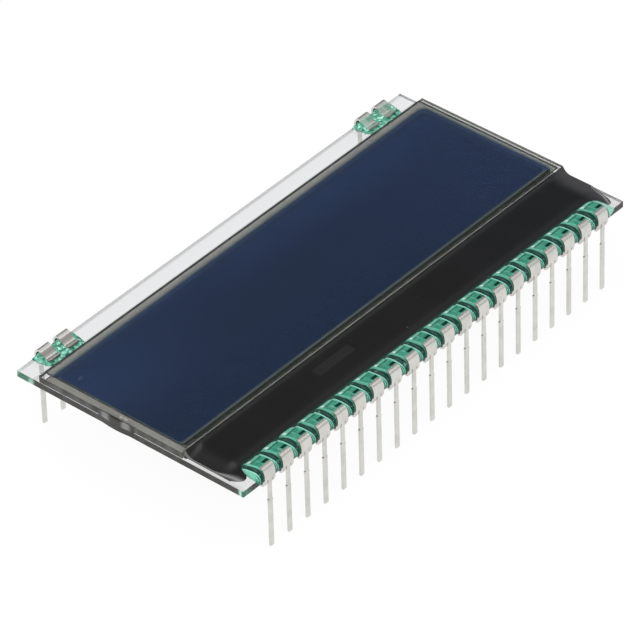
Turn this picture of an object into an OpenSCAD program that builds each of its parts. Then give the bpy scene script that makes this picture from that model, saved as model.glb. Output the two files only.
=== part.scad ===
// Chip-on-glass character display module.
// Two glass plates hold a liquid crystal film between polarizers. The wider rear plate carries the bare
// driver chip under a black shield coat, and stamped clip pins grip its two long edges in beads of resin.
// It stands on the tips of its pins: X runs along the rows, Y across them, Z is up to the display face.

/* [Glass cell] */
// Length of both glass plates
glass_l = 55; // [54:0.5:60]
// Thickness of each glass plate
glass_t = 0.7; // [0.55:0.05:1.1]
// Rear glass left bare beyond the front glass on the two-pair side
far_ledge = 2.8; // [2.6:0.1:4]
// Rear glass left bare beyond the front glass on the full-row side
near_ledge = 7.3; // [6.8:0.1:9]
// Gap between the plates, thickened from the few microns of a real cell
cell_gap = 0.05; // [0.04:0.01:0.1]
// Border of glass outside the perimeter seal
seal_inset = 0.05; // [0.02:0.01:0.3]
// Width of the perimeter seal
seal_w = 1.15; // [0.8:0.05:1.5]
// Corner radius of the liquid crystal area
view_r = 0.9; // [0.4:0.1:2]

/* [Polarizers] */
// Thickness of each polarizer film
film_t = 0.2; // [0.12:0.02:0.3]
// Bare glass beyond the films at the short edges
film_end_inset = 0.7; // [0.3:0.1:1.2]
// Bare glass beyond the films at the long edges
film_side_inset = 0.15; // [0.1:0.05:0.4]

/* [Pins] */
// Distance from one pin to the next
pin_pitch = 2.54; // [2.54]
// Pins in the full row
row_pins = 20; // [18:1:20]
// Pins at each end of the other row
end_pins = 2; // [2:1:3]
// Distance between the two rows, sheet centre to sheet centre
row_space = 27.94; // [27.94]
// Thickness of the stamped sheet
sheet_t = 0.2; // [0.15:0.01:0.22]
// Width of the clip's head
head_w = 1.45; // [1.2:0.05:1.6]
// Width of the leg
leg_w = 0.5; // [0.4:0.05:0.55]
// Length of the leg from the rear glass down to its tip
leg_l = 7.68; // [6:0.1:10]
// Height of the upper jaw's hump above the rear glass
hump_h = 0.9; // [0.8:0.05:1.1]
// Reach of the upper jaw in from the glass edge
jaw_reach = 1.8; // [1.6:0.05:2]
// Reach of the lower fingers in from the glass edge
finger_reach = 1.2; // [1:0.05:1.4]
// Width of each lower finger
finger_w = 0.36; // [0.3:0.02:0.38]

/* [Driver chip] */
// Length of the driver chip
chip_l = 5; // [4:0.5:10]
// Width of the driver chip
chip_w = 1.1; // [0.8:0.1:1.4]
// Thickness of the driver chip
chip_t = 0.3; // [0.2:0.02:0.32]
// Thickness of the bonding film under the chip
bond_t = 0.03; // [0.02:0.01:0.04]
// Place of the chip along the row
chip_x = -8.5; // [-12:0.5:12]
// Thickness of the black coat over the ledge
shield_t = 0.45; // [0.42:0.01:0.6]
// Thickness of the black coat where it meets the resin
shield_edge_t = 0.2; // [0.15:0.05:0.3]

/* [Resin and fill port] */
// Depth of the resin bead in from the glass edge
bead_d = 2.4; // [2.2:0.05:2.6]
// Thickness of resin over a jaw of the full row
skin_t = 0.09; // [0.05:0.01:0.12]
// Length of resin past the last clip of a group
bead_end = 0.9; // [0.5:0.1:0.95]
// Length of the glue over the fill port
plug_l = 4.4; // [3.5:0.1:6]
// Bulge of the glue out of the glass edge
plug_bulge = 0.2; // [0.1:0.05:0.3]
// Width of the fill port through the seal
port_w = 1.6; // [1:0.1:2.5]

/* [Hidden] */
$fn = 48;
edge_gap = 0.07;                                    // between a clip's sheet and the glass edge
fit_gap = 0.04;                                     // between resin and metal
seat_gap = 0.02;                                    // between the glass and the springs that rest on it
sheet_u = edge_gap + sheet_t / 2;                   // centre of the sheet outside the glass edge
edge_y = row_space / 2 - sheet_u;                   // the glass edges
z_top = leg_l + glass_t;                            // top face of the rear glass
z_front = z_top + cell_gap;                         // underside of the front glass
z_face = z_front + glass_t;                         // top face of the front glass
front_w = 2 * edge_y - far_ledge - near_ledge;      // width of the front glass
front_y = (near_ledge - far_ledge) / 2;             // its centre across the rows
near_y = front_y - front_w / 2;                     // its edge on the full-row side
port_y = front_y - 0.75;                            // centre of the fill port
chip_y = near_y - 1.8;                              // centre of the driver chip
film_l = glass_l - 2 * film_end_inset;
film_w = front_w - 2 * film_side_inset;
cell_l = glass_l - 2 * (seal_inset + seal_w);
cell_w = front_w - 2 * (seal_inset + seal_w);
row_x = (row_pins - 1) / 2 * pin_pitch;             // the last pin of the full row
foot_h = 0.5;                                       // depth of the clip's plate below the glass top
dam_h = 3;                                          // depth of the cut dam bar below the glass top
notch_l = 1;                                        // bare corners of the cell, left out of the seal
notch_w = 0.6;
steps = 2;                                          // points along each span of a curve

function pin_name(n) = str("pin_", n < 10 ? "0" : "", n);

// Place of pin n: the full row counts from the left, then the two groups of the other row.
function pin_x(n) =
    n <= row_pins ? -row_x + (n - 1) * pin_pitch
    : n <= row_pins + end_pins ? -row_x + (n - row_pins - 1) * pin_pitch
    : row_x - (row_pins + 2 * end_pins - n) * pin_pitch;

// A smooth curve through the points p.
function blend(a, b, c, d, t) =
    0.5 * (2 * b + (c - a) * t + (2 * a - 5 * b + 4 * c - d) * t * t
    + (3 * b - a - 3 * c + d) * t * t * t);
function curve(p) = concat([for (i = [0 : len(p) - 2], k = [0 : steps - 1])
    blend(p[max(i - 1, 0)], p[i], p[i + 1], p[min(i + 2, len(p) - 1)], k / steps)], [p[len(p) - 1]]);

// The point beside point i of curve c, a distance s to the left of its way.
function way(c, i) =
    let (d = c[min(i + 1, len(c) - 1)] - c[max(i - 1, 0)])
    d / norm(d);
function beside(c, i, s) = c[i] + s * [-way(c, i)[1], way(c, i)[0]];
function band(c, t) = concat([for (i = [0 : len(c) - 1]) beside(c, i, t / 2)],
    [for (i = [len(c) - 1 : -1 : 0]) beside(c, i, -t / 2)]);

// Side view of a clip: the first figure is the distance in from the glass edge, and the second the
// height above the top face of the rear glass.
jaw_low = sheet_t / 2 + seat_gap;
jaw_top = hump_h - sheet_t / 2;
jaw_curve = curve([[-sheet_u, -foot_h], [-sheet_u, jaw_top - 0.68], [-sheet_u + 0.07, jaw_top - 0.38],
    [0.06, jaw_top - 0.1], [0.32, jaw_top], [0.6, jaw_top - 0.13], [0.5 * jaw_reach, 0.45 * jaw_top],
    [jaw_reach - 0.6, jaw_low + 0.01], [jaw_reach - 0.35, jaw_low + 0.03], [jaw_reach - 0.03, jaw_low + 0.15]]);
jaw_crest = 4 * steps;                              // where the resin ends on the jaw
finger_low = -glass_t - sheet_t / 2 - seat_gap;
finger_curve = curve([[-sheet_u, 0.3 - foot_h], [-sheet_u, 0.1 - glass_t], [0.02, finger_low - 0.28],
    [0.34, finger_low - 0.26], [finger_reach - 0.45, finger_low], [finger_reach - 0.22, finger_low - 0.02],
    [finger_reach - 0.02, finger_low - 0.15]]);

// A prism along X of an outline in the clip's side view.
module along(w, outline) {
    translate([0, -edge_y, z_top])
        rotate([90, 0, 90])
            linear_extrude(w, center = true)
                polygon(outline);
}

// Front view of the leg: a thin shank, the stubs of the cut dam bar, and a leg with a cut tip.
function half_leg() = [[leg_w / 2 - 0.04, 0.3 - foot_h], [leg_w / 2 - 0.04, 0.15 - dam_h],
    [leg_w / 2 + 0.04, 0.1 - dam_h], [leg_w / 2 + 0.04, -0.1 - dam_h], [leg_w / 2, -0.15 - dam_h],
    [leg_w / 2, 0.05 - leg_l - glass_t], [leg_w / 2 - 0.05, -leg_l - glass_t]];

// One clip pin of the full row, at the middle of the row.
module clip_pin() {
    right = half_leg();
    left = [for (i = [len(right) - 1 : -1 : 0]) [-right[i][0], right[i][1]]];
    union() {
        along(head_w, band(jaw_curve, sheet_t));
        for (s = [-1, 1])
            translate([s * (head_w - finger_w) / 2, 0, 0])
                along(finger_w, band(finger_curve, sheet_t));
        translate([0, -edge_y - sheet_u, z_top])
            rotate([90, 0, 0])
                linear_extrude(sheet_t, center = true)
                    polygon(concat(right, left));
    }
}

module pin(n) {
    color("silver")
        translate([pin_x(n), 0, 0])
            mirror([0, n > row_pins ? 1 : 0, 0])
                clip_pin();
}

// A plate with its centre on the X axis.
module plate(l, w, y, z, t) {
    translate([-l / 2, y - w / 2, z])
        cube([l, w, t]);
}

module rear_glass() {
    color([0.75, 0.86, 0.83, 0.5])
        plate(glass_l, 2 * edge_y, 0, leg_l, glass_t);
}

module front_glass() {
    color([0.75, 0.82, 0.82, 0.5])
        plate(glass_l, front_w, front_y, z_front, glass_t);
}

module rounded(l, w, r) {
    union() {
        square([l - 2 * r, w], center = true);
        square([l, w - 2 * r], center = true);
        for (x = [-1, 1], y = [-1, 1])
            translate([x * (l / 2 - r), y * (w / 2 - r)])
                circle(r);
    }
}

module perimeter_seal() {
    color([0.52, 0.52, 0.5])
        translate([0, front_y, z_top])
            difference() {
                linear_extrude(cell_gap)
                    rounded(cell_l + 2 * seal_w, cell_w + 2 * seal_w, 0.3);
                translate([0, 0, -1])
                    linear_extrude(cell_gap + 2)
                        rounded(cell_l, cell_w, view_r);
                translate([-glass_l / 2, port_y - front_y - port_w / 2, -1])
                    cube([seal_inset + seal_w + view_r, port_w, cell_gap + 2]);
                for (s = [-1, 1])
                    translate([s * glass_l / 2, -s * front_w / 2, 0])
                        cube([2 * notch_l, 2 * notch_w, 4], center = true);
            }
}

module liquid_crystal() {
    color([0.15, 0.2, 0.32])
        translate([0, front_y, z_top])
            linear_extrude(cell_gap)
                rounded(cell_l, cell_w, view_r);
}

// Glue over the fill port, with a tongue that closes the gap in the seal.
module fill_port_plug() {
    bulge_r = (plug_l * plug_l / 4 + plug_bulge * plug_bulge) / (2 * plug_bulge);
    color([0.45, 0.46, 0.47])
        union() {
            intersection() {
                translate([-glass_l / 2 - plug_bulge + bulge_r, port_y, leg_l + 0.1])
                    cylinder(h = 2 * glass_t + cell_gap - 0.2, r = bulge_r, $fn = 400);
                translate([-glass_l / 2 - 1, port_y - plug_l / 2, leg_l])
                    cube([1, plug_l, 3]);
            }
            translate([-glass_l / 2 - 0.05, port_y - port_w / 2, z_top])
                cube([seal_inset + seal_w + 0.05, port_w, cell_gap]);
        }
}

module front_polarizer() {
    color([0.2, 0.25, 0.35, 0.6])
        plate(film_l, film_w, front_y, z_face, film_t);
}

module rear_polarizer() {
    color([0.2, 0.25, 0.35, 0.6])
        plate(film_l, film_w, front_y, leg_l - film_t, film_t);
}

module driver_ic() {
    color([0.2, 0.2, 0.22])
        translate([chip_x, 0, 0])
            plate(chip_l, chip_w, chip_y, z_top + bond_t, chip_t);
}

module bonding_film() {
    color([0.5, 0.42, 0.3])
        translate([chip_x, 0, 0])
            plate(chip_l, chip_w, chip_y, z_top, bond_t);
}

// Resin bead, lofted along the row. Each section is one closed loop of two stretches: the skin runs
// from the toe of the bead over the top, and the base comes back below it, along glass or metal.
function at(c, t) =
    let (f = t * (len(c) - 1), i = min(floor(f), len(c) - 2))
    c[i] + (c[i + 1] - c[i]) * (f - i);
function mix(a, b, t) = [for (i = [0 : len(a) - 1]) a[i] * (1 - t) + b[i] * t];

jaw_end = len(jaw_curve) - 1;
wall_out = sheet_u + sheet_t / 2;                   // outer face of a clip, out from the glass edge
// Skin of a full ridge beside a jaw of the full row, and of the valley halfway between two clips
ridge = concat([[bead_d, shield_edge_t], [jaw_reach + 0.25, jaw_low + 0.35]],
    [for (i = [jaw_end : -steps : jaw_crest]) beside(jaw_curve, i, sheet_t / 2 + skin_t)]);
ridge_wrap = [[-0.12, jaw_top - 0.15], [-wall_out, 0.05], [0.06 - wall_out, 0.1 - glass_t],
    [-0.03, -glass_t], [0, -glass_t]];
valley_curve = curve([[bead_d, shield_edge_t], [1.7, 0.36], [0.9, 0.38], [0.2, 0.28], [-0.1, 0.08]]);
valley = [for (k = [0 : len(ridge) - 1]) at(valley_curve, k / (len(ridge) - 1))];
valley_wrap = [[-0.14, -0.02], [-0.17, -0.3 * glass_t], [-0.14, -0.7 * glass_t], [-0.04, 0.04 - glass_t],
    [0, -glass_t]];
// Base of the resin on top of a jaw, from the clip's crest down to the toe
over_jaw = concat([for (i = [jaw_crest : steps : jaw_end]) beside(jaw_curve, i, sheet_t / 2 + fit_gap)],
    [[jaw_reach + 0.1, jaw_low + 0.3], [jaw_reach + 0.1, 0], [bead_d, 0]]);
shoulder = [for (k = [1 : 5]) mix([ridge[len(ridge) - 1]], [over_jaw[0]], k / 6)[0]];
glass_end = len(over_jaw) - 1;
function on_glass(reach) = [for (k = [0 : glass_end]) [reach * k / glass_end, 0]];
// Resin under the hump of a jaw, between its foot and the glass edge
under_curve = [for (i = [6 * steps : -1 : steps]) beside(jaw_curve, i, -sheet_t / 2 - fit_gap)];
under_skin = [for (k = [0 : len(ridge) - 1]) at(under_curve, k / (len(ridge) - 1))];
under_wrap = [[fit_gap - edge_gap, -0.5 * glass_t], [fit_gap - edge_gap, -0.65 * glass_t],
    [fit_gap - edge_gap, -0.85 * glass_t], [fit_gap - edge_gap, -glass_t], [0, -glass_t]];

function open_loop(rise, reach) = concat(mix(valley, ridge, rise), mix(valley_wrap, ridge_wrap, rise),
    on_glass(reach));
// How a bead closes in past its last clip: share of bead_end, and share of the full section
taper = [[0.25, 0.97], [0.6, 0.82], [0.88, 0.5]];
function skin_loop() = concat(ridge, shoulder, over_jaw);
function under_loop() = concat(under_skin, under_wrap, on_glass(under_curve[0][0]));

// Sections [place, loop] of the bead round clips at the places xs. Resin stands rise high beside a
// clip, and it runs over the jaws or stays under them.
function bead(xs, rise, over) =
    let (half = head_w / 2, bay = pin_pitch - head_w, first = xs[0] - half, end = xs[len(xs) - 1] + half)
    concat(
        [for (k = [2 : -1 : 0])
            [first - bead_end * taper[k][0], open_loop(rise * (0.6 - 0.3 * k), bead_d) * taper[k][1]]],
        [for (n = [0 : len(xs) - 1]) each concat(
            [for (x = [-half - fit_gap, -half, half, half + fit_gap])
                [xs[n] + x, abs(x) > half ? open_loop(rise, bead_d) : over ? skin_loop() : under_loop()]],
            n == len(xs) - 1 ? [] : [for (k = [[0.3, 0.3], [0.7, 0.3]])
                [xs[n] + half + bay * k[0], open_loop(rise * k[1], bead_d)]])],
        [for (k = [0 : 2])
            [end + bead_end * taper[k][0], open_loop(rise * (0.6 - 0.3 * k), bead_d) * taper[k][1]]]);

// Both ends of the bead run out to a point on the glass edge.
module resin(xs, rise, over) {
    cuts = bead(xs, rise, over);
    n = len(cuts[0][1]);
    rings = len(cuts);
    reach = head_w / 2 + bead_end;
    color([0.24, 0.62, 0.48, 0.8])
        translate([0, -edge_y, z_top])
            polyhedron(
                concat([for (c = cuts, p = c[1]) [c[0], p[0], p[1]]],
                    [[xs[0] - reach, 0, 0]], [[xs[len(xs) - 1] + reach, 0, 0]]),
                [for (j = [0 : n - 1]) let (k = (j + 1) % n, top = (rings - 1) * n) each concat(
                    [[rings * n, j, k], [rings * n + 1, top + k, top + j]],
                    [for (s = [0 : rings - 2]) each [[s * n + j, (s + 1) * n + j, (s + 1) * n + k],
                        [s * n + j, (s + 1) * n + k, s * n + k]]])]);
}

// Black coat over the ledge, lofted along the row. It climbs the front glass, covers the chip, meets
// the resin along its toe, and thins out at both ends, where it leaves some of the glass bare.
function coat_top(toe, rise) =
    let (thick = 0.04 + (shield_t - 0.04) * rise, edge = 0.03 + (shield_edge_t - 0.03) * rise)
    concat([[toe, edge]], curve([[toe + 0.5, mix([edge], [thick], 0.5)[0]], [toe + 1.2, thick],
        [near_ledge - 1.2, thick], [near_ledge - 0.35, thick + 0.06], [near_ledge, glass_t]]));
function coat_section(toe, rise) =
    let (top = coat_top(toe, rise))
    concat(top, [for (k = [len(top) - 1 : -1 : 0]) [top[k][0], 0]]);

module light_shield() {
    start = pin_x(1) - head_w / 2;
    end = pin_x(row_pins) + head_w / 2;
    left = 0.35 - glass_l / 2;
    right = glass_l / 2;
    gap = start - bead_end - left;
    rest = right - end - bead_end;
    // place, distance of the toe from the glass edge, and share of the full thickness
    cuts = concat([[left, 1.9, 0.1], [left + 0.4 * gap, 1, 0.4], [left + 0.8 * gap, 0.7, 0.6]],
        [for (k = [2 : -1 : 0])
            [start - bead_end * taper[k][0], bead_d * taper[k][1] + 0.03, 0.95 - 0.1 * k]],
        [[start, bead_d, 1], [end, bead_d, 1]],
        [for (k = [0 : 2]) [end + bead_end * taper[k][0], bead_d * taper[k][1] + 0.03, 0.95 - 0.1 * k]],
        [[right - 0.55 * rest, 0.65, 0.6], [right - 0.28 * rest, 1.7, 0.4],
        [right - 0.15 * rest, 2.9, 0.22], [right, 3.7, 0.08]]);
    loops = [for (c = cuts) coat_section(c[1], c[2])];
    n = len(loops[0]);
    rings = len(cuts);
    color([0.12, 0.12, 0.12])
        difference() {
            translate([0, -edge_y, z_top])
                polyhedron(
                    [for (s = [0 : rings - 1], p = loops[s]) [cuts[s][0], p[0], p[1]]],
                    concat([for (j = [0 : n - 1], s = [0 : rings - 2]) let (k = (j + 1) % n, t = s * n)
                        each [[t + j, t + n + k, t + n + j], [t + j, t + k, t + n + k]]],
                        [for (j = [0 : n / 2 - 2]) let (top = (rings - 1) * n, a = n - 1 - j)
                            each [[j, a - 1, j + 1], [j, a, a - 1],
                                [top + j, top + j + 1, top + a - 1], [top + j, top + a - 1, top + a]]]));
            translate([chip_x, 0, 0])
                plate(chip_l, chip_w, chip_y, z_top, bond_t + chip_t);
        }
}

module resin_bead_row() {
    resin([for (n = [1 : row_pins]) pin_x(n)], 1, true);
}

module resin_bead_pair(first) {
    mirror([0, 1, 0])
        resin([for (n = [0 : end_pins - 1]) pin_x(first + n)], 0.6, false);
}

rear_glass();
front_glass();
perimeter_seal();
liquid_crystal();
fill_port_plug();
front_polarizer();
rear_polarizer();
driver_ic();
bonding_film();
light_shield();
resin_bead_row();
resin_bead_pair(row_pins + 1);  // resin_bead_left
resin_bead_pair(row_pins + end_pins + 1);  // resin_bead_right
for (n = [1 : row_pins + 2 * end_pins])
    pin(n);
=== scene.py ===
import math

import bmesh
import bpy
from mathutils import Matrix, Vector


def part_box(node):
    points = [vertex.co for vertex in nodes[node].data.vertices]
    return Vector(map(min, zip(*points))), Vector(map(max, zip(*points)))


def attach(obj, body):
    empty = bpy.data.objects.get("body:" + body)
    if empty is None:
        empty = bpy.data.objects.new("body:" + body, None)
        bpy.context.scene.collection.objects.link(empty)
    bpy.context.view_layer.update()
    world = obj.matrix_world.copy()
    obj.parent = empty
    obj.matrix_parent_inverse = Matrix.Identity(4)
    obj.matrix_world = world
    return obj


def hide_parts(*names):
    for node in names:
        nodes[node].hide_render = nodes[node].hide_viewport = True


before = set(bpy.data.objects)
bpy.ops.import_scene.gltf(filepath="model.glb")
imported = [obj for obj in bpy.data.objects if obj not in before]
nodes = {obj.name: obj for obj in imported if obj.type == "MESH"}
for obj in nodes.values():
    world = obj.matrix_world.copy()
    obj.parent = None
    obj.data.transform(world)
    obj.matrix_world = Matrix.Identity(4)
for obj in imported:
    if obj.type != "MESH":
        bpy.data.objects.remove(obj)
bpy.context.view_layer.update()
print("frame loaded:", len(nodes), "nodes")

mm = 0.001
rearLow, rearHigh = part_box("rear_glass")
frontLow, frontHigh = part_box("front_glass")
cellLow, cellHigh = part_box("liquid_crystal")
sealLow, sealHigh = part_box("perimeter_seal")
coatLow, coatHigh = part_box("light_shield")
chipLow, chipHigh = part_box("driver_ic")
plugLow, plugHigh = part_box("fill_port_plug")


def middle(name):
    low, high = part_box(name)
    return (low + high) / 2


pinNames = sorted(n for n in nodes if n.startswith("pin_"))
rowPins = [n for n in pinNames if middle(n).y < 0]
farPins = [n for n in pinNames if middle(n).y > 0]  # two pairs, left and right
firstX = middle(rowPins[0]).x
pitch = middle(rowPins[1]).x - firstX


def placed(name, data):                             # a new object in the scene
    thing = bpy.data.objects.new(name, data)
    bpy.context.scene.collection.objects.link(thing)
    return thing


def pieceOf(name, shape):                           # an object from a finished bmesh
    mesh = bpy.data.meshes.new(name)
    shape.to_mesh(mesh)
    shape.free()
    return placed(name, mesh)


# node maths: a wire is one socket, and an expression on wires adds its Math nodes
class Wire:
    def __init__(self, finish, socket):
        self.finish, self.socket = finish, socket

    def math(self, operation, *others, clamp=False):
        settings = {"operation": operation, "use_clamp": clamp}
        return self.finish.add("ShaderNodeMath", settings, [self, *others])

    def __add__(self, other):
        return self.math("ADD", other)

    def __sub__(self, other):
        return self.math("SUBTRACT", other)

    def __mul__(self, other):
        return self.math("MULTIPLY", other)

    def __truediv__(self, other):
        return self.math("DIVIDE", other)

    def __rsub__(self, other):
        return self.finish.add("ShaderNodeMath", {"operation": "SUBTRACT"}, [other, self])

    __radd__ = __add__
    __rmul__ = __mul__

    def __neg__(self):
        return self * -1

    def __abs__(self):
        return self.math("ABSOLUTE")

    def below(self, other):
        return self.math("MINIMUM", other)

    def above(self, other):
        return self.math("MAXIMUM", other)

    def clamp(self):
        return self.math("ADD", 0, clamp=True)

    def fract(self):
        return self.math("FRACT")

    def rise(self, start, end):                     # 0 on start's side, 1 on end's side
        return self.finish.add("ShaderNodeMapRange", {"interpolation_type": "SMOOTHSTEP"},
                               {"Value": self, "From Min": start, "From Max": end})

    def band(self, start, end, soft):               # 1 between start and end
        return self.rise(start - soft, start + soft) * (1 - self.rise(end - soft, end + soft))


class Finish:
    def __init__(self, name, tree=None):
        if tree is None:
            self.material = bpy.data.materials.new(name)
            self.material.use_nodes = True
            tree = self.material.node_tree
        self.tree = tree
        tree.nodes.clear()

    def add(self, kind, settings=None, values=(), out=0):
        node = self.tree.nodes.new(kind)
        for key, value in (settings or {}).items():
            setattr(node, key, value)
        pairs = values.items() if isinstance(values, dict) else enumerate(values)
        for key, value in pairs:
            socket = node.inputs[key]
            if isinstance(value, Wire):
                self.tree.links.new(value.socket, socket)
            elif isinstance(value, tuple) and len(value) == 3 and len(socket.default_value) == 4:
                socket.default_value = (*value, 1)
            else:
                socket.default_value = value
        return Wire(self, node.outputs[out]) if len(node.outputs) else node

    def split(self, vector):                        # its three parts
        node = self.add("ShaderNodeSeparateXYZ", {}, [vector]).socket.node
        return [Wire(self, socket) for socket in node.outputs]

    def axes(self):
        return self.split(self.add("ShaderNodeTexCoord", out="Object"))

    def upward(self):                               # 1 on a face turned up, 0 on an upright one
        return self.split(self.add("ShaderNodeNewGeometry", out="Normal"))[2]

    def chart(self, name):                          # the two parts of a piece's own map
        return self.split(self.add("ShaderNodeUVMap", {"uv_map": name}))[:2]

    def rays(self, *kinds):
        node = self.add("ShaderNodeLightPath").socket.node
        return [Wire(self, node.outputs[f"Is {kind} Ray"]) for kind in kinds]

    def place(self, scale=(1, 1, 1), turn=0.0):     # Object coordinates, stretched for a pattern
        coords = self.add("ShaderNodeTexCoord", out="Object")
        return self.add("ShaderNodeMapping", {}, {"Vector": coords, "Scale": scale, "Rotation": (0, 0, turn)})

    def noise(self, scale, detail=3.0, stretch=(1, 1, 1)):
        return self.add("ShaderNodeTexNoise", {}, {"Vector": self.place(stretch), "Scale": scale,
                                                   "Detail": detail})

    def mix(self, factor, one, two):                # colours: sockets 0, 6, 7 and 2 of a colour Mix
        node = self.add("ShaderNodeMix", {"data_type": "RGBA"}).socket.node
        for key, value in ((0, factor), (6, one), (7, two)):
            if isinstance(value, Wire):
                self.tree.links.new(value.socket, node.inputs[key])
            else:
                node.inputs[key].default_value = value if key == 0 else (*value, 1)
        return Wire(self, node.outputs[2])

    def bump(self, height, depth, strength=1.0):
        return self.add("ShaderNodeBump", {}, {"Strength": strength, "Distance": depth, "Height": height})

    def principled(self, **values):
        named = {key.replace("_", " "): value for key, value in values.items()}
        return self.add("ShaderNodeBsdfPrincipled", {}, named)

    def clear(self, tint):
        return self.add("ShaderNodeBsdfTransparent", {}, {"Color": tint})

    def blend(self, factor, one, two):              # shaders
        return self.add("ShaderNodeMixShader", {}, [factor, one, two])

    def done(self, shader):
        self.add("ShaderNodeOutputMaterial", {}, [shader])
        return self.material


def tone(*levels):                                  # a colour as seen, 0 to 255, made linear
    return tuple((c / 255 / 12.92) if c < 11 else ((c / 255 + 0.055) / 1.055) ** 2.4 for c in levels)


def grey(level):
    return (level, level, level)


def dress(name, material):
    mesh = nodes[name].data
    mesh.materials.clear()
    mesh.materials.append(material)


# camera: angles in degrees, distances in metres from the middle of the rear glass
view = {"azimuth": -48.48, "height": 38.48, "roll": -1.70, "distance": 0.5564, "lens": 334.7, "sensor": 36,
        "side": -0.000556, "lift": -0.003312}


def makeCamera():
    azimuth, height, roll = (math.radians(view[k]) for k in ("azimuth", "height", "roll"))
    target = Vector(((rearLow.x + rearHigh.x) / 2, (rearLow.y + rearHigh.y) / 2, rearHigh.z))
    back = Vector((math.sin(azimuth) * math.cos(height), -math.cos(azimuth) * math.cos(height),
                   math.sin(height)))
    right = Vector((math.cos(azimuth), math.sin(azimuth), 0))
    up = back.cross(right)
    place = target + back * view["distance"] + right * view["side"] + up * view["lift"]
    data = bpy.data.cameras.new("camera")
    data.lens, data.sensor_width, data.clip_start = view["lens"], view["sensor"], 0.01
    camera = placed("camera", data)
    turned = Matrix((right * math.cos(roll) + up * math.sin(roll),
                     up * math.cos(roll) - right * math.sin(roll), back)).transposed()
    camera.matrix_world = Matrix.Translation(place) @ turned.to_4x4()
    bpy.context.scene.camera = camera


makeCamera()
print("camera placed")


# studio: white floor, white surroundings with one grey flag and one dark strip, soft lamps
studio = {"floorSize": 4, "paper": 0.92, "floorShade": 0.05, "sky": 0.76, "flag": 0.15, "strip": 0.08,
          "flagWay": (0.62, 0.50, 0.60),
          "lamps": [((-0.30, -0.55, 0.60), 0.45, 3.2), ((0.12, -0.06, 0.85), 0.60, 1.8),
                    ((-0.45, 0.35, 0.55), 0.40, 1.2)]}                  # place, size and power


def makeFloor():
    shape = bmesh.new()
    bmesh.ops.create_grid(shape, x_segments=1, y_segments=1, size=studio["floorSize"])
    floor = pieceOf("floor", shape)
    paper = Finish("floor_paper")
    camera, glossy, through = paper.rays("Camera", "Glossy", "Transmission")
    lit = paper.principled(Base_Color=grey(studio["paper"]), Roughness=0.9)
    glow = paper.add("ShaderNodeEmission", {}, {"Color": grey(1), "Strength": 1.0})
    seen = camera.above(glossy).above(through)
    floor.data.materials.append(paper.done(paper.blend(seen * (1 - studio["floorShade"]), lit, glow)))


def makeSky():
    world = bpy.data.worlds.new("studio")
    world.use_nodes = True
    bpy.context.scene.world = world
    sky = Finish("sky", world.node_tree)
    camera, glossy, through = sky.rays("Camera", "Glossy", "Transmission")
    way = sky.add("ShaderNodeTexCoord", out="Generated")
    flag = tuple(Vector(studio["flagWay"]).normalized())
    near = sky.add("ShaderNodeVectorMath", {"operation": "DOT_PRODUCT"}, [way, flag], out="Value")
    wall = sky.mix(near.rise(0.80, 0.96), grey(1), grey(studio["flag"]))
    right, ahead, up = sky.split(way)
    strip = right.rise(0.10, 0.45) * up.band(0.32, 0.66, 0.05)          # dark strip that the bends show
    wall = sky.mix(strip, wall, grey(studio["strip"]))
    colour = sky.mix(camera.above(through), wall, grey(1))
    strength = studio["sky"] + (1 - studio["sky"]) * camera.above(glossy).above(through)
    backdrop = sky.add("ShaderNodeBackground", {}, {"Color": colour, "Strength": strength})
    sky.add("ShaderNodeOutputWorld", {}, [backdrop])


def makeLamps():
    for n, (place, size, power) in enumerate(studio["lamps"]):
        data = bpy.data.lights.new(f"lamp_{n + 1}", "AREA")
        data.shape, data.size, data.energy = "DISK", size, power
        lamp = placed(f"lamp_{n + 1}", data)
        lamp.location = place
        lamp.rotation_euler = (-Vector(place)).to_track_quat("-Z", "Y").to_euler()


makeFloor()
makeSky()
makeLamps()
bpy.context.scene.view_settings.view_transform = "Standard"
print("studio lit")


# glass plates; sawn gives how much of each side face is ground and dull; brown, grey, mint and deep are
# painted reflections on the side faces, rim and shade painted shade on the rear glass's top
glass = {"tint": (0.858, 0.865, 0.875), "rim": (0.55, 0.55, 0.55), "shade": (0.72, 0.72, 0.72),
         "side": (0.62, 0.66, 0.64), "shadow": (0.93, 0.93, 0.93), "index": 1.5,
         "mint": tone(178, 226, 206), "deep": tone(58, 112, 90),
         "brown": tone(46, 43, 40), "grey": tone(78, 80, 75),
         "sawn": {"left": 0.9, "near": 0.75, "right": 0.6, "rearFar": 0.15, "frontFar": 0.6}}


def lampsThrough(finish, shader):                   # lets lamplight pass straight through
    shadow, diffuse = finish.rays("Shadow", "Diffuse")
    return finish.blend(shadow.above(diffuse), shader, finish.clear(glass["shadow"]))


def onFace(axis, edge, way):                        # 1 on the side face at edge, with way -1 or 1
    return (axis * way).rise(edge * way - 0.05 * mm, edge * way - 0.01 * mm)


def rearTop(finish, x, y, flat, low, high):         # painted shade lines on the far ledge, painted soft shadows at the ends
    # line: the front glass's painted shadow on the ledge; lip: a painted dark line along the ledge's far edge
    line = y.band(frontHigh.y + 0.52 * mm, frontHigh.y + 0.82 * mm, 0.04 * mm)
    lip = y.rise(high.y - 0.16 * mm, high.y - 0.10 * mm)
    lip = lip * (1 - abs(x).rise(high.x - 0.9 * mm, high.x - 0.3 * mm) * 0.6)
    top = finish.mix(line.above(lip) * flat, glass["tint"], glass["rim"])
    strip = x.rise(low.x + 0.6 * mm, low.x + 0.25 * mm)
    strip = strip * (1 - y.rise(low.y + 1.4 * mm, low.y + 7.4 * mm) * 0.4)
    shadow = x.rise(high.x - 2.5 * mm, high.x - 0.5 * mm).above(strip)
    shadow = shadow * y.rise(frontLow.y - 0.1 * mm, frontLow.y - 2.0 * mm)
    return finish.mix(shadow * flat, top, glass["shade"])


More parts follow.
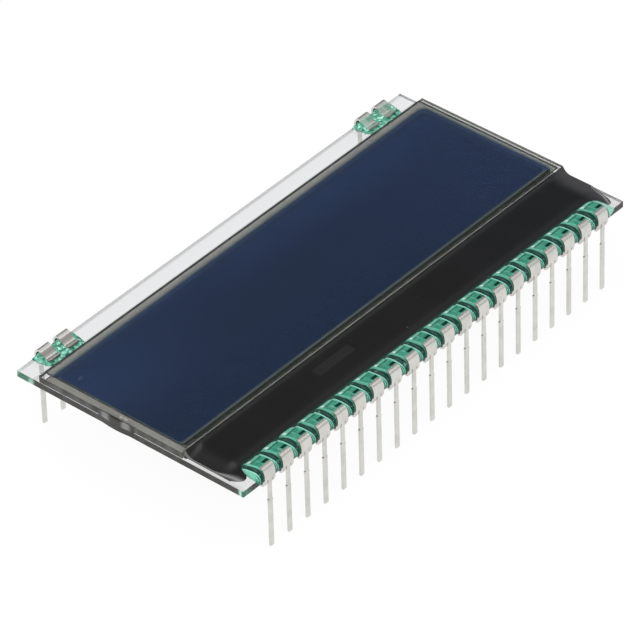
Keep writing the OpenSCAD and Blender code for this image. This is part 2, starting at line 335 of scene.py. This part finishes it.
def makeGlass(name, low, high, rear):
    finish = Finish(name)
    x, y, z = finish.axes()
    flat = finish.upward()
    smears = finish.noise(900, 4)
    chips = finish.noise(900, 3, (1, 1, 0.25))
    cut = 1 - abs(flat).rise(0.3, 0.6)
    if rear:
        top = rearTop(finish, x, y, flat.rise(0.3, 0.6), low, high)
        # the sawn faces are painted dark brown and grey, a painted reflection of the black coat inside the
        # glass, over real chipping
        edge = finish.mix(chips.rise(0.35, 0.7) * 0.5, glass["brown"], glass["grey"])
        # painted green light of the resin, seen through the left face near its corners
        green = finish.mix(chips.rise(0.42, 0.58), glass["deep"], glass["mint"])
        resinLightCorners = y.rise(low.y + 0.7 * mm, low.y + 0.3 * mm)
        resinLightCorners = resinLightCorners.above(y.rise(high.y - 2.3 * mm, high.y - 1.6 * mm))
        edge = finish.mix(resinLightCorners * x.rise(low.x + 1.4 * mm, low.x + 0.6 * mm), edge, green)
    else:
        top = glass["tint"]
        # the front glass's sawn faces painted grey and brown, a painted dark reflection inside the glass,
        # over real chipping
        edge = finish.mix(chips.rise(0.3, 0.7), glass["grey"], glass["brown"])
    solid = finish.principled(Base_Color=finish.mix(cut, top, glass["side"]), Transmission_Weight=1.0,
                              IOR=glass["index"], Roughness=smears.rise(0.62, 0.8) * 0.06 + 0.005)
    sawn = finish.principled(Base_Color=edge, Roughness=0.25 + chips * 0.2, Specular_IOR_Level=0.3,
                             Normal=finish.bump(chips, 0.03 * mm))
    dull = glass["sawn"]
    share = (onFace(x, low.x, -1) * dull["left"]).above(onFace(y, low.y, -1) * dull["near"])
    share = share.above(onFace(x, high.x, 1) * dull["right"])
    share = share.above(onFace(y, high.y, 1) * dull["rearFar" if rear else "frontFar"])
    return finish.done(lampsThrough(finish, finish.blend(share * cut, solid, sawn)))


dress("rear_glass", makeGlass("rear_glass_finish", rearLow, rearHigh, True))
dress("front_glass", makeGlass("front_glass_finish", frontLow, frontHigh, False))


# liquid crystal and seal
cell = {"navy": tone(50, 68, 99), "left": tone(62, 83, 124), "right": tone(56, 75, 113),
        "top": tone(61, 82, 123), "near": tone(47, 66, 98), "cloud": tone(58, 72, 108),
        "through": tone(96, 116, 150), "clear": 0.22, "corner": 0.3 * mm}
# seal colours: dark is a painted shadow line and teal a painted lit border beside it, on the near and left
# sides
seal = {"taupe": tone(178, 177, 172), "dim": tone(152, 152, 146), "far": tone(176, 177, 172),
        "left": tone(142, 141, 134), "rim": tone(128, 130, 124), "dark": tone(58, 66, 58),
        "teal": tone(92, 110, 116), "sea": tone(112, 126, 125), "blue": tone(63, 81, 114),
        "fleck": tone(204, 203, 196), "bits": tone(210, 208, 200)}


def edgeDepth(x, y, low, high):                     # how far inside a rounded rectangle
    centre, half = (low + high) / 2, (high - low) / 2
    acrossX = abs(x - centre.x) - (half.x - cell["corner"])
    acrossY = abs(y - centre.y) - (half.y - cell["corner"])
    outX, outY = acrossX.above(0), acrossY.above(0)
    outside = (outX * outX + outY * outY).math("SQRT")
    inside = acrossX.above(acrossY).below(0)
    return cell["corner"] - outside - inside


def nearOrLeft(x, y, low, high):                    # 1 by the two sides turned to the front
    front = (x - low.x).below(y - low.y)
    back = (high.x - x).below(high.y - y)
    return (back - front).rise(-0.1 * mm, 0.1 * mm)


def makeCell():
    finish = Finish("cell_blue")
    x, y, z = finish.axes()
    depth = edgeDepth(x, y, cellLow, cellHigh)
    front = nearOrLeft(x, y, cellLow, cellHigh)
    alongX = (x - cellLow.x) / (cellHigh.x - cellLow.x)
    alongY = (y - cellLow.y) / (cellHigh.y - cellLow.y)
    cloud = finish.noise(70, 2)
    blue = finish.mix(alongX.rise(0.35, 0) * alongY.rise(0.15, 0.8), cell["navy"], cell["left"])
    blue = finish.mix(alongX.rise(0.5, 1.0) * 0.9, blue, cell["right"])
    blue = finish.mix(alongY.rise(0.6, 1.0) * alongX.rise(0.1, 0.6), blue, cell["top"])
    blue = finish.mix(alongY.rise(0.5, 0) * alongX.rise(0.9, 0.6) * 0.7, blue, cell["near"])
    blue = finish.mix(cloud.rise(0.35, 0.75) * 0.12, blue, cell["cloud"])
    blue = finish.mix(depth.rise(1.0 * mm, 0) * (1 - front), blue, seal["blue"])
    # painted lit teal border along the near and left edges, beside the seal's painted shadow line
    blue = finish.mix(depth.rise(0.2 * mm, 0.05 * mm) * front, blue, seal["teal"])
    body = finish.principled(Base_Color=blue, Roughness=0.5, Specular_IOR_Level=0.0)
    return finish.done(finish.blend(cell["clear"], body, finish.clear(cell["through"])))


def makeSeal():
    finish = Finish("seal_taupe")
    x, y, z = finish.axes()
    front = nearOrLeft(x, y, sealLow, sealHigh)
    leftSide = (cellLow.x - x).rise(-0.1 * mm, 0.1 * mm)
    inner = -edgeDepth(x, y, cellLow, cellHigh) / mm                    # mm outside the blue
    outer = edgeDepth(x, y, sealLow, sealHigh)
    cloud = finish.noise(420, 4)
    fleck = finish.noise(2600, 2)
    wander = inner + (cloud - 0.5) * 0.12
    sunk = wander * (1 + leftSide * 1.4) + leftSide * 0.16              # narrower lines on the left side
    taupe = finish.mix(cloud.rise(0.3, 0.7), seal["dim"], seal["taupe"])
    taupe = finish.mix((1 - front) * (0.6 + 0.4 * cloud), taupe, seal["far"])
    taupe = finish.mix(fleck.rise(0.62, 0.75) * 0.35, taupe, seal["fleck"])
    taupe = finish.mix(leftSide * 0.85, taupe, seal["left"])
    taupe = finish.mix(wander.rise(0.95, 0.45) * (1 - front), taupe, seal["sea"])
    taupe = finish.mix(wander.rise(0.58, 0.34) * (1 - front), taupe, seal["blue"])
    dark = sunk.band(0.14, 0.60, 0.05) * front                          # painted shadow of the seal's inner edge, a dark line on the near and left sides
    taupe = finish.mix(dark, taupe, seal["dark"])
    bits = finish.noise(2400, 2).rise(0.56, 0.64) * leftSide * y.band(-3 * mm, 6 * mm, 1.5 * mm)
    taupe = finish.mix(bits * dark, taupe, seal["bits"])
    # painted lit teal border between the painted shadow line and the blue
    taupe = finish.mix(sunk.rise(0.14, 0.06) * front, taupe, seal["teal"])
    taupe = finish.mix(inner.rise(-0.04, -0.14), taupe, seal["blue"])
    taupe = finish.mix(outer.rise(0.1 * mm, 0.03 * mm) * 0.6, taupe, seal["rim"])
    return finish.done(finish.principled(Base_Color=taupe, Roughness=0.6, Specular_IOR_Level=0.1,
                                         Normal=finish.bump(fleck, 0.01 * mm)))


# films: tint of the light let through, and level of gloss over it; the front one holds a curled hair
film = {"gloss": tone(28, 30, 34), "side": tone(50, 56, 54), "front": (grey(0.93), 0.06),
        "rear": ((0.42, 0.45, 0.50), 0.25)}
hair = {"x": -25.45, "y": 7.72, "slope": 0.45, "curl": 0.9, "thin": 0.02, "soft": 0.05,
        "half": 0.20, "end": 0.34, "tone": tone(150, 152, 156)}         # places and sizes in mm


def hairMask(finish):
    x, y, z = finish.axes()
    right = x - hair["x"] * mm
    bend = y - hair["y"] * mm + right * hair["slope"] + right * right / (hair["curl"] * mm)
    strand = abs(bend).rise(hair["soft"] * mm, hair["thin"] * mm)
    return strand * abs(right).rise(hair["end"] * mm, hair["half"] * mm)


def makeFilm(name, tint, level, hairy):
    finish = Finish(name)
    side = 1 - abs(finish.upward()).rise(0.3, 0.7)
    haze = finish.noise(300, 3)
    gloss = finish.principled(Base_Color=finish.mix(side, film["gloss"], film["side"]),
                              Roughness=haze.rise(0.4, 0.8) * 0.08 + 0.08, Specular_IOR_Level=0.35)
    share = side * 0.85 + (1 - side) * level
    if hairy:
        strand = hairMask(finish)
        gloss = finish.blend(strand * 0.8, gloss, finish.principled(Base_Color=hair["tone"], Roughness=0.6))
        share = share.above(strand * 0.5)
    return finish.done(finish.blend(share, finish.clear(tint), gloss))


dress("liquid_crystal", makeCell())
dress("perimeter_seal", makeSeal())
dress("front_polarizer", makeFilm("front_film", *film["front"], True))
dress("rear_polarizer", makeFilm("rear_film", *film["rear"], False))
print("display cell dressed")


# black coat: its skin is cut into columns and rows, its sizes are in mm
coat = {"black": tone(29, 29, 30), "right": tone(29, 30, 32), "pale": tone(150, 150, 149),
        "green": tone(50, 100, 82), "end": tone(62, 62, 64), "cloud": tone(40, 40, 42),
        "chip": tone(41, 40, 40), "speck": tone(110, 110, 108), "columns": 240, "rows": 40,
        "thick": 0.45, "lip": 0.12, "climb": 1.2, "thinThick": 0.04, "thinLip": 0.03,
        "leftFade": 2.2, "rightFade": 3.2}
# place along the row, and the toe's distance from the glass edge there
coatToe = [(-27.15, 1.9), (-26.8, 1.35), (-26.3, 0.95), (-25.75, 1.1), (-25.3, 1.85), (-24.85, 2.3),
           (-24.4, 2.3), (24.4, 2.3), (24.85, 2.3), (25.3, 1.85), (25.75, 1.1), (26.2, 0.70),
           (26.6, 0.75), (26.95, 1.4), (27.2, 2.6), (27.5, 3.7)]
# distance from the glass edge, and the place along the row where the ink ends there
coatRim = [(0.6, 26.55), (1.9, 27.12), (3.0, 27.22), (3.7, 27.47), (4.5, 28.6)]


def makeCoat():
    finish = Finish("coat_black")
    x, y, z = finish.axes()
    ink, inward = finish.chart("ink")               # 0 where the coat ends; mm in from the toe
    fromRight = rearHigh.x - x
    cloud = finish.noise(160, 3)
    wave = finish.noise(260, 2)
    thinned = finish.noise(900, 2).rise(0.55, 0.62)
    speck = finish.add("ShaderNodeTexVoronoi", {}, {"Vector": finish.place(), "Scale": 620.0})
    black = finish.mix(fromRight.rise(23.5 * mm, 3.5 * mm) * 0.8, coat["black"], coat["right"])
    black = finish.mix(fromRight.rise(2.9 * mm, 0.1 * mm), black, coat["end"])
    black = finish.mix(cloud.rise(0.4, 0.7) * 0.15, black, coat["cloud"])
    overX = abs(x - (chipLow.x + chipHigh.x) / 2) - (chipHigh.x - chipLow.x) / 2
    overY = abs(y - (chipLow.y + chipHigh.y) / 2) - (chipHigh.y - chipLow.y) / 2
    black = finish.mix(overX.above(overY).rise(0.08 * mm, -0.06 * mm) * 0.9, black, coat["chip"])
    black = finish.mix(speck.rise(0.07, 0.03) * thinned * 0.5, black, coat["speck"])
    glow = inward.rise(0.36, 0.0) * abs(x).rise(rearHigh.x - 1.9 * mm, rearHigh.x - 2.5 * mm)
    black = finish.mix(glow * (0.15 + 0.4 * cloud), black, coat["green"])       # painted green glow of the resin under the toe
    black = finish.mix(ink.rise(1.0, 0.1) * 0.9, black, coat["pale"])
    soften = (x - coatLow.x).rise(2.6 * mm, 0).above(fromRight.rise(2.7 * mm, 0.7 * mm))
    body = finish.principled(Base_Color=black, Roughness=0.10 + soften * 0.30, Specular_IOR_Level=0.17,
                             Normal=finish.bump(wave, 0.03 * mm, 0.6))
    return finish.done(finish.blend(ink.rise(0.4, 0.0) * 0.8, body, finish.clear(grey(0.8))))


def soft(value):                                    # a smooth step from 0 to 1
    value = min(max(value, 0.0), 1.0)
    return value * value * (3 - 2 * value)


def along(spots, place):                            # a curve through (place, value) spots
    spots = [spots[0]] + spots + [spots[-1]]
    for (_, before), (a, one), (b, two), (_, after) in zip(spots, spots[1:], spots[2:], spots[3:]):
        if place <= b or b == spots[-1][0]:
            t = min(max((place - a) / (b - a), 0), 1)
            return 0.5 * (2 * one + (two - before) * t + (2 * before - 5 * one + 4 * two - after) * t * t
                          + (3 * one - before - 3 * two + after) * t ** 3)


def coatHeight(x, u, left, right):                  # height over the rear glass, u in from its edge
    depth, wall = (frontLow.y - rearLow.y) / mm, (coatHigh.z - rearHigh.z) / mm
    full = min(0.1 + 0.9 * soft((x - left) / coat["leftFade"]),
               0.06 + 0.94 * soft((right - x) / coat["rightFade"]))
    thick = coat["thinThick"] + (coat["thick"] - coat["thinThick"]) * full
    lip = coat["thinLip"] + (coat["lip"] - coat["thinLip"]) * full
    climb = min(max((u - depth + coat["climb"]) / coat["climb"], 0), 1)         # up the front glass
    return lip + (thick - lip) * soft((u - 2.1) / 1.5) + (wall - thick) * climb ** 3


def coatInk(x, u, left):                            # 0 at the coat's ends, 1 where it covers
    ink = soft((x - left) / (1.3 - 1.1 * soft((u - 1.5) / 2.5)))
    return min(ink, soft((along(coatRim, u) - x) / (0.25 + 0.35 * soft((3.5 - u) / 2))))


def makeCoatSkin():
    left, right = coatLow.x / mm, coatHigh.x / mm
    depth = (frontLow.y - rearLow.y) / mm
    shape = bmesh.new()
    bmesh.ops.create_grid(shape, x_segments=coat["columns"], y_segments=coat["rows"], size=1)
    layer = shape.loops.layers.uv.new("ink")
    inked = {}
    for vert in shape.verts:
        s, t = vert.co.x, (vert.co.y + 1) / 2
        s = math.copysign(1 - (1 - abs(s)) ** 1.8, s)          # closer columns at both ends
        x = (left + right) / 2 + (right - left) / 2 * s
        toe = along(coatToe, x)
        u = toe + (depth - toe) * (t * 0.6 + 0.4 * soft(t))
        vert.co = Vector((x * mm, rearLow.y + u * mm, rearHigh.z + coatHeight(x, u, left, right) * mm))
        inked[vert] = (coatInk(x, u, left), u - toe)
    tops = set(shape.verts)
    whole = list(shape.verts) + list(shape.edges) + list(shape.faces)
    grown = bmesh.ops.extrude_face_region(shape, geom=whole, use_keep_orig=True)["geom"]
    for vert in grown:
        if isinstance(vert, bmesh.types.BMVert):    # the underside, flat on the glass
            vert.co.z = rearHigh.z
            inked[vert] = (1.0, 1.0)
    bmesh.ops.recalc_face_normals(shape, faces=shape.faces)
    for face in shape.faces:
        face.smooth = all(v in tops for v in face.verts)
        for loop in face.loops:
            loop[layer].uv = inked[loop.vert]
    piece = pieceOf("coat_skin", shape)
    piece.data.materials.append(makeCoat())
    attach(piece, "root")
    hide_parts("light_shield")


# chip, its bonding film, and the glue over the fill port
chip = {"lane": 0.08 * mm, "dark": tone(52, 52, 60), "light": tone(84, 84, 96)}
bond = {"amber": tone(120, 98, 62), "grain": tone(168, 146, 98)}
glue = {"dark": tone(50, 50, 46), "pale": tone(138, 138, 138), "bits": tone(200, 198, 190), "lobe": 1.22 * mm}


def makeChip():
    finish = Finish("chip_silicon")
    x, y, z = finish.axes()
    lanes = (x / chip["lane"]).fract().rise(0.3, 0.6)
    base = finish.mix(lanes * 0.3, chip["dark"], chip["light"])
    return finish.done(finish.principled(Base_Color=base, Metallic=0.4, Roughness=0.25 + lanes * 0.1))


def makeBond():
    finish = Finish("bond_amber")
    grains = finish.noise(9000, 2)
    base = finish.mix(grains.rise(0.45, 0.6), bond["amber"], bond["grain"])
    return finish.done(finish.principled(Base_Color=base, Roughness=0.45))


def makePlug():
    finish = Finish("port_glue")
    x, y, z = finish.axes()
    cloud = finish.noise(700, 3)
    reach = abs(y - (plugLow.y + plugHigh.y) / 2) + (cloud - 0.5) * 0.5 * mm
    upper = (z + (cloud - 0.5) * 0.15 * mm).rise(rearHigh.z - 0.05 * mm, rearHigh.z + 0.12 * mm)
    lobes = abs(reach - glue["lobe"]).rise(0.75 * mm, 0.15 * mm) * upper        # two pale lobes
    base = finish.mix((lobes * (0.4 + 0.7 * cloud)).clamp(), glue["dark"], glue["pale"])
    # its tongue between the plates, which carries on the seal's painted shadow line
    tongue = finish.mix(x.rise(cellLow.x - 0.22 * mm, cellLow.x - 0.14 * mm), seal["left"], seal["dark"])
    tongue = finish.mix(finish.noise(2400, 2).rise(0.56, 0.64) * 0.8, tongue, glue["bits"])
    base = finish.mix(x.rise(rearLow.x + 0.02 * mm, rearLow.x + 0.08 * mm), base, tongue)
    return finish.done(finish.principled(Base_Color=base, Roughness=0.3, Specular_IOR_Level=0.3,
                                         Normal=finish.bump(cloud, 0.04 * mm)))


makeCoatSkin()
dress("driver_ic", makeChip())
dress("bonding_film", makeBond())
dress("fill_port_plug", makePlug())
print("coat, chip and glue dressed")


# clip pins: smear is where resin covers the jaws of the right pair, in mm in from the glass edge
tin = {"bright": (0.70, 0.685, 0.65), "dull": (0.62, 0.605, 0.575), "rough": 0.30, "smear": (1.75, 0.55),
       "deepSmear": tone(84, 150, 128), "paleSmear": tone(150, 190, 176)}


def makeTin(wet):
    finish = Finish("tinned_sheet_wet" if wet else "tinned_sheet")
    brushed = finish.noise(1.0, 3, (2600, 2600, 160))
    cloud = finish.noise(900, 3)
    base = finish.mix(cloud.rise(0.3, 0.75), tin["bright"], tin["dull"])
    base = finish.mix(brushed.rise(0.4, 0.8) * 0.12, base, grey(0.5))
    rough = tin["rough"] + cloud.rise(0.35, 0.8) * 0.06 + brushed * 0.04
    metal = 1.0
    if wet:
        x, y, z = finish.axes()
        start, end = (rearHigh.y - inward * mm for inward in tin["smear"])
        smear = (y + (cloud - 0.5) * 0.7 * mm).band(start, end, 0.12 * mm)
        smear = smear * z.rise(rearHigh.z, rearHigh.z + 0.3 * mm) * finish.noise(1700, 2).rise(0.30, 0.55)
        green = finish.mix(cloud.rise(0.4, 0.6), tin["deepSmear"], tin["paleSmear"])
        base = finish.mix(smear * 0.85, base, green)
        metal = 1 - smear * 0.7
    return finish.done(finish.principled(Base_Color=base, Metallic=metal, Roughness=rough,
                                         Normal=finish.bump(brushed, 0.004 * mm, 0.4)))


tinned, smeared = makeTin(False), makeTin(True)
for name in pinNames:
    dress(name, smeared if name in farPins[2:] else tinned)
print("pins tinned")


# green resin: a bead lofted along the clips, its cage smoothed by a subdivision; sizes in mm.
# halfClip and halfBay are half widths of a clip's lobe and of the bay after it, endRow and endPair
# the lengths past the last clips, and swell how far the toe of a numbered clip bulges
bead = {"halfClip": 0.725, "halfBay": 0.545, "endRow": 0.90, "endPair": 0.62, "smooth": 2,
        "swell": {0: -0.02, 1: 0.05, 2: 0.08, 3: 0.03, 19: 0.04}}
# side views of the skin, from the toe over the top to the glass's lower edge:
# distance in from the glass edge and height above the rear glass
skins = {
    "jaw": [(2.38, 0.02), (2.34, 0.15), (2.18, 0.40), (1.92, 0.60), (1.60, 0.70), (1.25, 0.78),
            (0.92, 0.87), (0.64, 0.93), (0.44, 0.94), (0.30, 0.84), (0.06, 0.52), (-0.05, 0.10),
            (-0.045, -0.45), (0.01, -0.68)],
    "side": [(2.38, 0.02), (2.35, 0.17), (2.20, 0.43), (1.94, 0.64), (1.62, 0.75), (1.27, 0.83),
             (0.94, 0.91), (0.64, 0.96), (0.36, 0.96), (0.03, 0.83), (-0.20, 0.50), (-0.262, 0.05),
             (-0.22, -0.48), (0.01, -0.69)],
    "valley": [(2.36, 0.02), (2.28, 0.12), (2.05, 0.26), (1.75, 0.34), (1.45, 0.38), (1.15, 0.40),
               (0.85, 0.40), (0.55, 0.38), (0.28, 0.33), (0.02, 0.20), (-0.14, 0.00), (-0.18, -0.25),
               (-0.15, -0.55), (0.01, -0.69)],
    "farJaw": [(2.50, 0.01), (2.42, 0.04), (2.20, 0.06), (1.80, 0.05), (1.30, 0.07), (1.00, 0.16),
               (0.85, 0.28), (0.68, 0.42), (0.45, 0.55), (0.20, 0.52), (0.02, 0.30), (-0.035, 0.05),
               (-0.035, -0.45), (0.01, -0.68)],
    "farSide": [(2.46, 0.02), (2.36, 0.10), (2.12, 0.20), (1.80, 0.27), (1.40, 0.32), (1.02, 0.38),
                (0.72, 0.42), (0.48, 0.44), (0.26, 0.40), (0.05, 0.26), (-0.10, 0.05), (-0.15, -0.25),
                (-0.13, -0.52), (0.01, -0.69)]}
backing = [(0.01, -0.35), (0.01, 0.006), (1.20, 0.006)]                 # from there back along the glass
# ends of a bead: place past the last clip, and shares of the depth and the height left there
tips = [(0.16, 1.0, 1.0), (0.42, 0.95, 0.95), (0.68, 0.80, 0.80), (0.86, 0.60, 0.60), (0.96, 0.36, 0.36),
        (1.0, 0.10, 0.10)]
skirt = [(0.18, 1.0, 1.0), (0.45, 1.0, 0.92), (0.72, 0.99, 0.74), (0.95, 0.94, 0.54), (1.10, 0.84, 0.38),
         (1.18, 0.68, 0.26), (1.21, 0.48, 0.18)]


def between(one, two, share):
    return [(a[0] + (b[0] - a[0]) * share, a[1] + (b[1] - a[1]) * share) for a, b in zip(one, two)]


def tipCut(x, share, depth, height, side, valley):
    shape = between(valley, side, 0.15 + 0.5 * max(0, 1 - share) ** 2)
    return (x, [(u * (depth if u > 0.1 else height), v * height) for u, v in shape], height)


def beadCuts(places, top, side, valley, far):       # cross-sections from left to right
    half, bay = bead["halfClip"], bead["halfBay"]
    start, stop = places[0] / mm - half, places[-1] / mm + half
    end = bead["endPair" if far else "endRow"]
    cuts = [tipCut(start - end * tip[0], *tip, side, valley) for tip in reversed(tips)]
    for n, place in enumerate(places):
        x = place / mm
        swell = 1 if far else 1 + bead["swell"].get(n, 0.015 * math.sin(2.3 * n))
        wide = [(u * swell if u > 1.0 else u, v) for u, v in top]
        cuts += [(x - half - 0.02, side, 1), (x - half + 0.03, wide, 1), (x, wide, 1),
                 (x + half - 0.03, wide, 1), (x + half + 0.02, side, 1)]
        if n < len(places) - 1:
            for share in (-0.80, -0.58, -0.25, 0.25, 0.58, 0.80):
                cuts.append((x + half + bay + bay * share, between(valley, side, abs(share) ** 3), 1))
    if far:
        return cuts + [tipCut(stop + end * tip[0], *tip, side, valley) for tip in tips]
    return cuts + [tipCut(stop + tip[0], *tip, side, valley) for tip in skirt]


def nextRing(shape, ring, verts):                   # extrudes the ring, with its vertices in the same order
    grown = bmesh.ops.extrude_edge_only(shape, edges=ring)["geom"]
    ring = [g for g in grown if isinstance(g, bmesh.types.BMEdge)]
    fresh = {g for g in grown if isinstance(g, bmesh.types.BMVert)}
    return ring, [next(e.other_vert(v) for e in v.link_edges if e.other_vert(v) in fresh) for v in verts]


def makeBead(name, places, far):
    keys = ("farJaw", "farSide", "farSide") if far else ("jaw", "side", "valley")
    top, side, valley = (skins[key] for key in keys)
    edge, turn = (rearHigh.y, -1) if far else (rearLow.y, 1)
    shape = bmesh.new()
    layer = shape.loops.layers.uv.new("along")
    spots = {}
    for n, (x, skin, size) in enumerate(beadCuts(places, top, side, valley, far)):
        outline = skin + [(u * size, v * size if v < 0 else v) for u, v in backing]
        points = [Vector((x * mm, edge + turn * u * mm, rearHigh.z + v * mm)) for u, v in outline]
        if n == 0:
            verts = [shape.verts.new(p) for p in points]
            ring = [shape.edges.new((verts[k], verts[(k + 1) % len(verts)])) for k in range(len(verts))]
            bmesh.ops.holes_fill(shape, edges=ring)
        else:
            ring, verts = nextRing(shape, ring, verts)
            for vert, point in zip(verts, points):
                vert.co = point
        for k, vert in enumerate(verts):
            spots[vert] = ((x * mm - firstX) / pitch, k / (len(skin) - 1))
    bmesh.ops.holes_fill(shape, edges=ring)
    bmesh.ops.recalc_face_normals(shape, faces=shape.faces)
    for face in shape.faces:
        wraps = any(spots[loop.vert][1] > 1.1 for loop in face.loops)   # the faces against the glass
        for loop in face.loops:
            u, v = spots[loop.vert]
            loop[layer].uv = (u + 1, 1.0 if wraps and v < 0.01 else min(v, 1.0))
        face.smooth = True
    piece = pieceOf(name, shape)
    smooth = piece.modifiers.new("smooth", "SUBSURF")
    smooth.levels = smooth.render_levels = bead["smooth"]
    return piece


# resin colours; glint, line, arc and rim are painted highlights, olive a painted reflection of the tin, mint
# the painted lit faces, dark, shade, front and deep painted shade, toe a painted glow; window, mid, jade and
# skirt are its greens
resin = {"mint": tone(104, 172, 150), "line": tone(150, 208, 190), "arc": tone(112, 182, 160),
         "dark": tone(15, 55, 48), "mid": tone(48, 122, 100), "window": tone(66, 146, 122),
         "shade": tone(12, 38, 32), "front": tone(42, 100, 82), "glint": tone(226, 246, 240),
         "olive": tone(78, 90, 68), "rim": tone(96, 168, 146), "toe": tone(88, 154, 132),
         "skirt": tone(134, 192, 174), "jade": tone(84, 152, 130), "deep": tone(28, 80, 66),
         "clear": (0.25, 0.75, 0.58)}


def besideClips(finish, bay, v):                    # painted light and shade of the resin between clips, in bands that follow the skin
    front = v.rise(0.56, 0.72)
    # lit mint top, painted darker on the shaded front side
    side = finish.mix(front, resin["mint"], resin["mid"])
    side = finish.mix(bay.rise(-0.40, -0.50), side, finish.mix(front, resin["mid"], resin["front"]))
    # painted shade in the valley, a dark band
    side = finish.mix(bay.band(0.10, 0.44, 0.03), side, resin["dark"])
    # painted highlight line
    side = finish.mix(bay.band(0.03, 0.10, 0.02), side, finish.mix(front, resin["line"], resin["arc"]))
    # painted highlight by the plate on top, painted reflection of the plate on the front
    side = finish.mix(bay.rise(0.45, 0.49), side, finish.mix(front, resin["rim"], resin["olive"]))
    side = finish.mix(bay.band(-0.18, -0.12, 0.02) * v.band(0.62, 0.80, 0.03) * 0.4, side, resin["glint"])
    # darker towards the lower edge
    return finish.mix(v.rise(0.80, 0.95) * 0.8, side, resin["dark"])


def overJaws(finish, across, v, fine):              # the metal under the resin, painted with its reflection, a highlight and shadows
    over = finish.mix(fine.rise(0.35, 0.65), resin["window"], resin["mid"])
    over = finish.mix(across.band(-0.20, 0.05, 0.06) * fine.rise(0.4, 0.6) * 0.6, over, resin["mint"])
    # painted reflection of the jaw's tip as a mint strip, with a painted glint at its end
    over = finish.mix(v.band(0.18, 0.30, 0.02) * 0.85, over, resin["mint"])
    over = finish.mix(v.band(0.19, 0.31, 0.02) * across.band(-0.70, -0.35, 0.1) * 0.55, over, resin["glint"])
    # painted shadow line of the tip
    over = finish.mix(v.band(0.315, 0.345, 0.01) * 0.8, over, resin["dark"])
    # painted shade in the deep corner before the crest
    return finish.mix(v.band(0.50, 0.62, 0.025) * across.rise(-0.2, 0.12), over, resin["shade"])


def paintedFacets(finish, fine):                           # resin facets painted in light and shade: dark green shadow spots, lit mint, pale and white highlights
    cells = finish.add("ShaderNodeTexVoronoi", {},
                       {"Vector": finish.place((1, 1, 1.6), 0.6), "Scale": 4600.0}, out="Color")
    pick = finish.split(cells)[0] * 0.75 + fine * 0.25
    base = finish.mix(pick.rise(0.10, 0.35), resin["deep"], resin["jade"])
    base = finish.mix(pick.rise(0.45, 0.60), base, resin["mint"])
    base = finish.mix(pick.rise(0.68, 0.80), base, resin["line"])
    return finish.mix(pick.rise(0.84, 0.90) * 0.8, base, resin["glint"])


def makeResin(far, count):
    finish = Finish("green_resin_far" if far else "green_resin")
    u, v = finish.chart("along")                    # clips along the row; 0 at the toe, 1 at the lower edge
    wobble = finish.noise(520, 2) - 0.5
    fine = finish.noise(1500, 3)
    if far:
        base = paintedFacets(finish, fine)
        v = v + wobble * 0.03
    else:
        across = ((u + 0.5).fract() - 0.5) * (pitch / mm) + wobble * 0.10       # mm from the middle of a clip
        bay = (u.fract() - 0.5) * (pitch / mm) + wobble * 0.16                  # mm from the middle of a bay
        v = v + wobble * 0.03
        overJaw = abs(across).rise(0.74, 0.69) * u.band(0.5, count + 0.5, 0.01)
        base = finish.mix(overJaw, besideClips(finish, bay, v), overJaws(finish, across, v, fine))
        # painted pale glow along the toe
        base = finish.mix(v.rise(0.15, 0.05), base, resin["toe"])
        base = finish.mix(fine.rise(0.60, 0.72) * 0.25, base, resin["line"])
        pale = finish.mix(fine.rise(0.35, 0.7), resin["skirt"], resin["line"])
        base = finish.mix(u.rise(count + 0.36, count + 0.44) * 0.9, base, pale)
    body = finish.principled(Base_Color=base, Roughness=0.12 + fine.rise(0.5, 0.8) * 0.1, IOR=1.5,
                             Specular_IOR_Level=0.15, Normal=finish.bump(fine, 0.02 * mm, 0.5))
    return finish.done(finish.blend(v.rise(0.06, 0.0) * 0.5, body, finish.clear(resin["clear"])))


rowPlaces = [middle(n).x for n in rowPins]
farPlaces = [middle(n).x for n in farPins]
for name, places, far in (("resin_bead_row", rowPlaces, False), ("resin_bead_left", farPlaces[:2], True),
                          ("resin_bead_right", farPlaces[2:], True)):
    piece = makeBead(name.replace("bead", "skin"), places, far)
    piece.data.materials.append(makeResin(far, len(places)))
    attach(piece, "root")
    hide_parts(name)
print("resin beads made")
